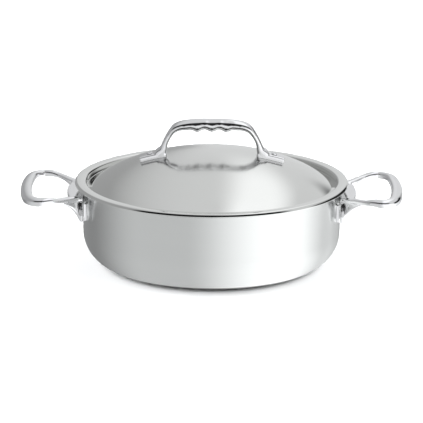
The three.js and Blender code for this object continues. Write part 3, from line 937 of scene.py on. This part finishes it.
def upright_piece(name, stations, swell):
    """Skin along stations in the plane of X and Z, let down by a swell under each place."""
    rows = smooth_row(stations, GRIP_STEPS)
    across = Vector((0.0, 1.0, 0.0))
    sections = []
    for row, travel in zip(rows, travel_along(rows[:, :3])):
        place, along = Vector(row[:3]), Vector(travel)
        wide, tall, corner = row[3:]
        drop = swell(place)
        place.z -= drop / 2
        axes = Matrix((across, along.cross(across), along)).transposed()
        sections.append((place, axes, wide, tall + drop, corner, 0.0, 0.0))
    piece = lofted_piece(name, sections)
    smooth_skin(piece, 2)
    return piece


class COOKINGPOT_OT_lid_handle(bpy.types.Operator):
    """Model the cast bridge handle with its scalloped grip"""

    bl_idname = "cookingpot.lid_handle"
    bl_label = "Lid Handle"

    def execute(self, context):
        settings, form = form_of(context)
        grip, lid = settings.grip, settings.lid
        half = bridge_half(grip, form)
        whole = half + [(-row[0], *row[1:]) for row in half[-2::-1]]

        def swell(place):
            return scallop(grip, place.x) if place.z > form.grip_under - grip.leg else 0.0

        bridge = upright_piece("bridge", whole, swell)
        right = upright_piece("tab", tab_row(grip, form), lambda place: 0.0)
        parts = [bridge, right, opposite_copy(right, "tab_left")]
        piece = blend_parts("lid_handle_skin", parts, grip.blend, grip.blend_passes)
        dome = [(out, height + lid.seat / 2) for out, height in form.dome_line()]
        cut(piece, "DIFFERENCE", turned_piece("dome", [(0.0, form.groove_floor), *reversed(dome)]))
        keep_crisp(piece)
        dress(settings, piece, "lid_handle", "lid", "handle_steel")
        return {"FINISHED"}


# Side handles, modelled on the +X side

def arm_line(loop, form, part):
    """Sideways place of an arm's middle, for a part of the way from the wall to its waist."""
    waist = form.arm_spread - loop.waist_pinch
    return loop.root_spread + (waist - loop.root_spread) * part**loop.arm_sweep


def arm_height(loop, form, part):
    """Height of an arm's middle, for a part of the way from the wall to its waist."""
    return form.root_top - loop.arm_thickness / 2 + loop.waist_rise * part**loop.arm_sweep


def level_sections(rows, tilt, corner):
    """Sections along level rows of place, width, thickness, heel and shoulder.

    A tilt lifts the right edge.
    """
    flat = travel_along(rows[:, :3] * (1, 1, 0))
    sections = []
    for row, travel in zip(rows, flat):
        right = Vector((travel[1], -travel[0], 0.0))
        across = right * cos(tilt) + Vector((0, 0, sin(tilt)))
        up = -right * sin(tilt) + Vector((0, 0, cos(tilt)))
        axes = Matrix((across, up, across.cross(up))).transposed()
        wide, tall, heel, shoulder = row[3:]
        sections.append((Vector(row[:3]), axes, wide, tall, corner * tall, heel, shoulder))
    return sections


def loop_half(settings, form):
    """Stations of the loop from an arm's root to the middle of the bar."""
    pot, loop = settings.pot, settings.loop

    def arm(out, wide):
        part = max(out, 0.0) / loop.waist_out
        sideways, height = arm_line(loop, form, part), arm_height(loop, form, part)
        return form.outer + out, sideways, height, wide, loop.arm_thickness, 0.0, 0.0

    bar_out = form.outer + loop.reach - loop.bar_width / 2
    bar_half = form.arm_spread - loop.corner_span
    corner_out = bar_out - loop.bulge - loop.corner_out
    bar_height = pot.height - loop.bar_below - loop.bar_thickness / 2

    def bar(x, y, wide, part=1.0):
        heel, shoulder = part * loop.bar_heel, part * loop.bar_shoulder
        return x, y, bar_height, wide, loop.bar_thickness, heel, shoulder

    diagonal = sqrt(0.5)
    neck_out = (form.outer + loop.waist_out + corner_out) / 2
    return [
        arm(-pot.wall, loop.root_width),
        arm(loop.flange_thickness, loop.root_width),
        arm(loop.waist_out / 2, loop.root_width),
        arm(loop.waist_out, loop.waist_width),
        bar(neck_out, form.arm_spread - loop.waist_pinch / 3, loop.arm_width, NECK_PART),
        bar(corner_out, form.arm_spread, loop.arm_width),
        bar(
            corner_out + loop.corner_out * diagonal,
            bar_half + loop.corner_span * diagonal,
            (loop.arm_width + loop.bar_width) / 2,
        ),
        bar(bar_out - loop.bulge, bar_half, loop.bar_width),
        bar(bar_out - loop.bulge / 4, bar_half / 2, loop.bar_width),
        bar(bar_out, 0.0, loop.bar_width),
    ]


def loop_bar(settings, form):
    """The bowed loop with its two arms."""
    half = loop_half(settings, form)
    whole = half + [(row[0], -row[1], *row[2:]) for row in half[-2::-1]]
    rows = smooth_row(whole, SPAN_STEPS)
    piece = lofted_piece("loop_bar", level_sections(rows, settings.loop.bar_tilt, BAR_ROUNDING))
    smooth_skin(piece, 2)
    return piece


def gusset_web(settings, form, side):
    """Web under the outer side of an arm, full on the wall and running out inside the waist."""
    pot, loop = settings.pot, settings.loop
    full = loop.flange_height - loop.arm_thickness / 2
    offset = (loop.root_width - loop.web_thickness) / 2

    def station(out):
        part = max(out, 0.0) / loop.waist_out
        tall = max(full * (1 - part) ** loop.web_hollow, loop.arm_thickness / 4)
        flare = loop.web_flare * max(1 - out / (2 * loop.flange_thickness), 0.0)
        lean = tall / 2 * sin(loop.web_splay)
        drop = tall / 2 * cos(loop.web_splay)
        sideways = arm_line(loop, form, part) + offset * (1 - part) + lean
        height = arm_height(loop, form, part) - drop
        wide = loop.web_thickness + flare - offset * part
        return form.outer + out, side * sideways, height, wide, tall, 0.0, 0.0

    reaches = (-pot.wall, 0.0, loop.flange_thickness, loop.waist_out / 2, loop.waist_out)
    rows = smooth_row([station(out) for out in reaches], SPAN_STEPS)
    tilt = -side * loop.web_splay
    piece = lofted_piece(f"web_{side}", level_sections(rows, tilt, WEB_ROUNDING))
    smooth_skin(piece, 1)
    return piece


def tongue(settings, form):
    """Plate that bridges the arm roots, with a bowed outer edge."""
    pot, loop = settings.pot, settings.loop
    end = form.outer + loop.tongue_reach - loop.tongue_bulge
    half = arm_line(loop, form, (end - form.outer) / loop.waist_out)
    floor = form.root_top - loop.tongue_drop - loop.tongue_thickness
    steps = [step / ARC_STEPS for step in range(ARC_STEPS + 1)]
    bow = [(end + 4 * loop.tongue_bulge * t * (1 - t), half * (2 * t - 1), floor) for t in steps]
    front, rear = [(pot.inner_radius, side * loop.root_spread, floor) for side in (-1, 1)]
    return prism("tongue", [front, *bow, rear], (0, 0, loop.tongue_thickness))


def wall_plate(settings, form):
    """Plate against the wall: a slice of a ring, trimmed to a rounded rectangle."""
    pot, loop = settings.pot, settings.loop
    low, high = form.flange_foot - loop.flange_corner, form.root_top
    profile = [
        (pot.inner_radius, low),
        (form.wall_at(low) + loop.flange_thickness, low),
        (form.wall_at(high) + loop.flange_thickness, high),
        (pot.inner_radius, high),
        (pot.inner_radius, low),
    ]
    plate = turned_piece("wall_plate", profile)
    wide = 2 * loop.root_spread + loop.root_width
    tall = loop.flange_height - loop.tongue_drop - loop.tongue_thickness / 2
    deep = TRIM_DEPTH * loop.flange_thickness
    y, z, r = wide / 2 - loop.flange_corner, tall / 2 - loop.flange_corner, loop.flange_corner
    rounded = []
    for quarter, centre in enumerate(((y, -z), (y, z), (-y, z), (-y, -z))):
        rounded += arc(centre, r, (quarter - 1) * pi / 2, quarter * pi / 2, BEND_STEPS)
    foot = form.flange_foot + tall / 2
    outline = [(form.outer - deep / 2, across, foot + up) for across, up in rounded]
    cut(plate, "INTERSECT", prism("plate_trim", outline, (deep, 0, 0)))
    return plate


def cast_side_handle(settings, form, name):
    """All the handle's forms blended into one casting and cut to the wall."""
    loop = settings.loop
    parts = [
        loop_bar(settings, form),
        *[gusset_web(settings, form, side) for side in (1, -1)],
        tongue(settings, form),
        wall_plate(settings, form),
    ]
    piece = blend_parts(name, parts, loop.blend, loop.blend_passes)
    wall = [*pot_outer_line(settings.pot, form, loop.gap), (0.0, form.lip_start)]
    cut(piece, "DIFFERENCE", turned_piece("seat", wall))
    keep_crisp(piece)
    return piece


class COOKINGPOT_OT_side_handles(bpy.types.Operator):
    """Model the cast loop handles on both sides"""

    bl_idname = "cookingpot.side_handles"
    bl_label = "Side Handles"

    def execute(self, context):
        settings, form = form_of(context)
        right = cast_side_handle(settings, form, "side_handle_right_skin")
        left = opposite_copy(right, "side_handle_left_skin")
        dress(settings, right, "side_handle_right", "pot", "handle_steel")
        dress(settings, left, "side_handle_left", "pot", "handle_steel")
        return {"FINISHED"}


# Rivets

def rivet_piece(name, rivets, diameters, start, end, dimple=0.0):
    """Rivet along Z: a low dome head below its start and an upset head above its end."""
    shank, head, upset = diameters
    crown, upset_crown = rivets.crown - rivets.edge, rivets.upset_crown - rivets.edge
    turns = [step / BEND_STEPS * pi / 2 for step in range(BEND_STEPS + 1)]
    food = [(head / 2 * cos(t), start - rivets.edge - crown * sin(t)) for t in reversed(turns)]
    outer = [(upset / 2 * cos(t), end + rivets.edge + upset_crown * sin(t)) for t in turns]
    stem = [(head / 2, start), (shank / 2, start), (shank / 2, end), (upset / 2, end)]
    if dimple:
        top = end + rivets.upset_crown - dimple / 4
        outer = [point for point in outer if point[0] > MARK_EDGE * dimple]
        outer += [(dimple * cos(t), top - dimple / 2 * sin(t)) for t in turns]
    piece = turned_piece(name, [*food, *stem, *outer], RIVET_STEPS)
    keep_crisp(piece)
    return piece


class COOKINGPOT_OT_side_rivets(bpy.types.Operator):
    """Model the rivets through the wall and the side handles"""

    bl_idname = "cookingpot.side_rivets"
    bl_label = "Side Rivets"

    def execute(self, context):
        settings, form = form_of(context)
        pot, loop, rivets = settings.pot, settings.loop, settings.rivets
        height = form.flange_foot + rivets.side_rise
        turn = asin(rivets.side_pitch / 2 / form.outer)
        sag = rivets.side_head**2 / (8 * pot.inner_radius)
        diameters = (rivets.side_shank, rivets.side_head, rivets.side_upset)
        span = (-pot.wall - sag, loop.flange_thickness)
        place = Matrix.Translation((form.wall_at(height), 0, height))
        place @= Matrix.Rotation(pi / 2 + form.wall_lean, 4, "Y")
        for side, azimuth in (("right", 0.0), ("left", pi)):
            for end, way in (("front", -1), ("rear", 1)):
                node = f"side_rivet_{side}_{end}"
                piece = rivet_piece(f"{node}_skin", rivets, diameters, *span)
                sideways = way * turn if side == "right" else -way * turn
                place_piece(piece, Matrix.Rotation(azimuth + sideways, 4, "Z") @ place)
                dress(settings, piece, node, "pot", "rivet_steel")
        return {"FINISHED"}


class COOKINGPOT_OT_lid_rivets(bpy.types.Operator):
    """Model the rivets through the dome and the lid handle's tabs"""

    bl_idname = "cookingpot.lid_rivets"
    bl_label = "Lid Rivets"

    def execute(self, context):
        settings, form = form_of(context)
        lid, grip, rivets = settings.lid, settings.grip, settings.rivets
        sag = rivets.lid_head**2 / (8 * form.dome_spread)
        diameters = (rivets.lid_shank, rivets.lid_head, rivets.lid_upset)
        span = (-lid.sheet - sag, lid.seat + grip.tab)
        out = form.lid_rivet_out
        place = Matrix.Translation((out, 0, form.dome_height(out)))
        place @= Matrix.Rotation(form.lid_rivet_tilt, 4, "Y")
        for side, azimuth in (("right", 0.0), ("left", pi)):
            node = f"lid_rivet_{side}"
            piece = rivet_piece(f"{node}_skin", rivets, diameters, *span, rivets.dimple)
            place_piece(piece, Matrix.Rotation(azimuth, 4, "Z") @ place)
            dress(settings, piece, node, "lid", "rivet_steel")
        return {"FINISHED"}


# Stage

# Tall soft strips around the pot: bearing, inner and outer reach in degrees, and the light that
# each adds. Bearing 0 lies towards the camera and +90 to its right.
STRIPS = {
    "front left fill": (-40, 25, 95, 0.43),
    "right key": (67, 12, 90, 1.29),
    "back right fill": (145, 8, 30, 0.4),
}
ROOM_LIGHT = 0.29

# Strips stand upright in the pot's wall and rounded foot when they are drawn towards this level
STRIP_DRAW = 0.966

# Ceiling, by the sideways slope of a look up at it: dim on the left, brighter between two slopes,
# with a long lamp right of the middle that has soft edges and fades in with height
CEILING_DIM = 0.40
CEILING_RISE = (-1.0, 0.0, 0.36)
CEILING_LAMP = (0.02, 0.23, 0.28, 0.60, 0.46)
CEILING_SPREAD = 1.5
LAMP_FOOT = (8, 46)
LEAST_RISE = 0.05

# The ceiling starts lower behind the pot than in front of it
HORIZON_LEAN = 0.2
HORIZON_BLUR = 0.1

# Dark room over the camera: angles up from the front where it starts and ends, its sideways reach,
# and how much higher it starts beside the middle, in degrees for each sideways unit and at most
DARK_ROOM = (6, 16, 54, 68)
DARK_ASIDE = (0.78, 0.92)
DARK_LIFT = (120, 16)

# Dark doorway on the right: bearing with its reaches, and heights where it starts and ends
DOORWAY = ((126, 24, 38), (-10, 0, 14, 26))

# How much of the light the dark parts take
DARK_DEPTH = 0.97

# Light on the floor comes from both sides: its level, its fading with height, its lean to the back
FLOOR_LIGHT = 14.5
FLOOR_FADE = 0.2
FLOOR_LEAN = 0.8

STUDIO_COLOUR = (0.98, 0.99, 1.0, 1.0)

# Width of the camera's sensor in millimetres
SENSOR_WIDTH = 36.0


def bearing_share(bearing, middle, inner, outer):
    """How much of a soft upright strip is seen at a bearing, from 0 to 1."""
    aside = (bearing - radians(middle)).step("COSINE").step("ARCCOSINE")
    return fade(aside, radians(outer), radians(inner))


def strip_light(x, y):
    """Light of the strips around the pot."""
    bearing = 2 * x.step("ARCTAN2", STRIP_DRAW - y)
    strips = [bearing_share(bearing, *where) * level for *where, level in STRIPS.values()]
    return sum(strips, ROOM_LIGHT)


def ceiling_light(x, z, height):
    """Light of the ceiling and its long lamp."""
    slope = x / z.step("MAXIMUM", LEAST_RISE)
    wide = slope * (CEILING_SPREAD - z)
    start, end, rise = CEILING_RISE
    left, full_left, full_right, right, level = CEILING_LAMP
    lamp = fade(slope, left, full_left) * fade(wide, right, full_right)
    lamp *= fade(height, *map(radians, LAMP_FOOT))
    return CEILING_DIM + fade(wide, start, end) * rise + lamp * level


def dark_parts(x, y, z, height):
    """What the dark parts of the room leave of the light."""
    front = y * -1.0
    aside = x.step("ABSOLUTE")
    turn = z.step("ARCTAN2", front)
    slope, most = map(radians, DARK_LIFT)
    lifted = turn - (aside * slope).step("MINIMUM", most)
    start, full, last, end = map(radians, DARK_ROOM)
    inner, outer = DARK_ASIDE
    over = fade(lifted, start, full) * fade(turn, end, last) * fade(aside, outer, inner)

    where, heights = DOORWAY
    start, full, last, end = map(radians, heights)
    door = bearing_share(x.step("ARCTAN2", front), *where)
    door *= fade(height, start, full) * fade(height, end, last)
    return 1.0 - over.step("MAXIMUM", door) * DARK_DEPTH


def light_studio(world):
    """Studio around the pot: strips, a ceiling with a long lamp, and dark parts of the room."""
    world.use_nodes = True
    tree = world.node_tree
    x, y, z = parts_of(tree, tree.nodes.new("ShaderNodeTexCoord").outputs["Generated"])
    height = z.step("ARCSINE")
    above = fade(z + y * HORIZON_LEAN, -HORIZON_BLUR, HORIZON_BLUR)
    light = strip_light(x, y) * (1.0 - above) + ceiling_light(x, z, height) * above
    light *= dark_parts(x, y, z, height)

    # The floor is lit on its own, from both sides
    on_floor = Level(tree, tree.nodes.new("ShaderNodeLightPath").outputs["Is Diffuse Ray"])
    sides = (x * x - z * FLOOR_FADE).step("MAXIMUM", 0.0) * FLOOR_LIGHT
    floor_light = sides * (1.0 + y * FLOOR_LEAN)
    background = tree.nodes["Background"]
    strength = light * (1.0 - on_floor) + floor_light * on_floor
    set_input(tree, background.inputs["Strength"], strength)
    background.inputs["Color"].default_value = STUDIO_COLOUR


def lay_floor(stage):
    """Plain pale floor that polished metal doesn't mirror."""
    bpy.ops.object.select_all(action="DESELECT")
    bpy.ops.mesh.primitive_grid_add(
        x_subdivisions=FLOOR_CELLS, y_subdivisions=FLOOR_CELLS, size=stage.floor_size
    )
    floor = bpy.context.object
    floor.name = "floor"
    floor.visible_glossy = False
    material = bpy.data.materials.new("floor_paint")
    material.use_nodes = True
    shader = material.node_tree.nodes["Principled BSDF"]
    shader.inputs["Base Color"].default_value = (*stage.floor, 1)
    shader.inputs["Roughness"].default_value = 1.0
    shader.inputs["Specular IOR Level"].default_value = 0.0
    floor.data.materials.append(material)


def aim_camera(stage):
    """Long lens at the photograph's angle."""
    bpy.ops.object.camera_add()
    camera = bpy.context.object
    camera.name = "camera"
    pitch = Matrix.Rotation(pi / 2 - stage.camera_pitch, 4, "X")
    roll = Matrix.Rotation(stage.camera_roll, 4, "Z")
    place = Matrix.Translation((0, -stage.camera_distance, stage.camera_height))
    camera.matrix_world = place @ (pitch @ roll)
    camera.data.lens = stage.camera_lens
    camera.data.sensor_width = SENSOR_WIDTH
    bpy.context.scene.camera = camera


class COOKINGPOT_OT_stage(bpy.types.Operator):
    """Set up the floor, the light and the camera"""

    bl_idname = "cookingpot.stage"
    bl_label = "Stage"

    def execute(self, context):
        scene = context.scene
        stage = scene.cooking_pot.stage
        scene.view_settings.view_transform = "Standard"
        scene.world = bpy.data.worlds.new("studio")
        light_studio(scene.world)
        lay_floor(stage)
        aim_camera(stage)
        return {"FINISHED"}


# Panel and registration

STEPS = (
    COOKINGPOT_OT_pot_body,
    COOKINGPOT_OT_side_handles,
    COOKINGPOT_OT_side_rivets,
    COOKINGPOT_OT_lid_shell,
    COOKINGPOT_OT_lid_handle,
    COOKINGPOT_OT_lid_rivets,
    COOKINGPOT_OT_stage,
)


class COOKINGPOT_PT_panel(bpy.types.Panel):
    """Steps that model the cooking pot"""

    bl_idname = "COOKINGPOT_PT_panel"
    bl_label = "Cooking Pot"
    bl_space_type = "VIEW_3D"
    bl_region_type = "UI"
    bl_category = "Cooking Pot"

    def draw(self, context):
        for step in STEPS:
            self.layout.operator(step.bl_idname)


CLASSES = (
    PotSizes,
    LidSizes,
    GripSizes,
    LoopSizes,
    RivetSizes,
    FinishSettings,
    StageSettings,
    PotSettings,
    *STEPS,
    COOKINGPOT_PT_panel,
)


def register():
    for cls in CLASSES:
        bpy.utils.register_class(cls)
    bpy.types.Scene.cooking_pot = PointerProperty(type=PotSettings)


def unregister():
    del bpy.types.Scene.cooking_pot
    for cls in reversed(CLASSES):
        bpy.utils.unregister_class(cls)


def main():
    register()
    for step in STEPS:
        family, name = step.bl_idname.split(".")
        getattr(getattr(bpy.ops, family), name)()


if __name__ == "__main__":
    main()
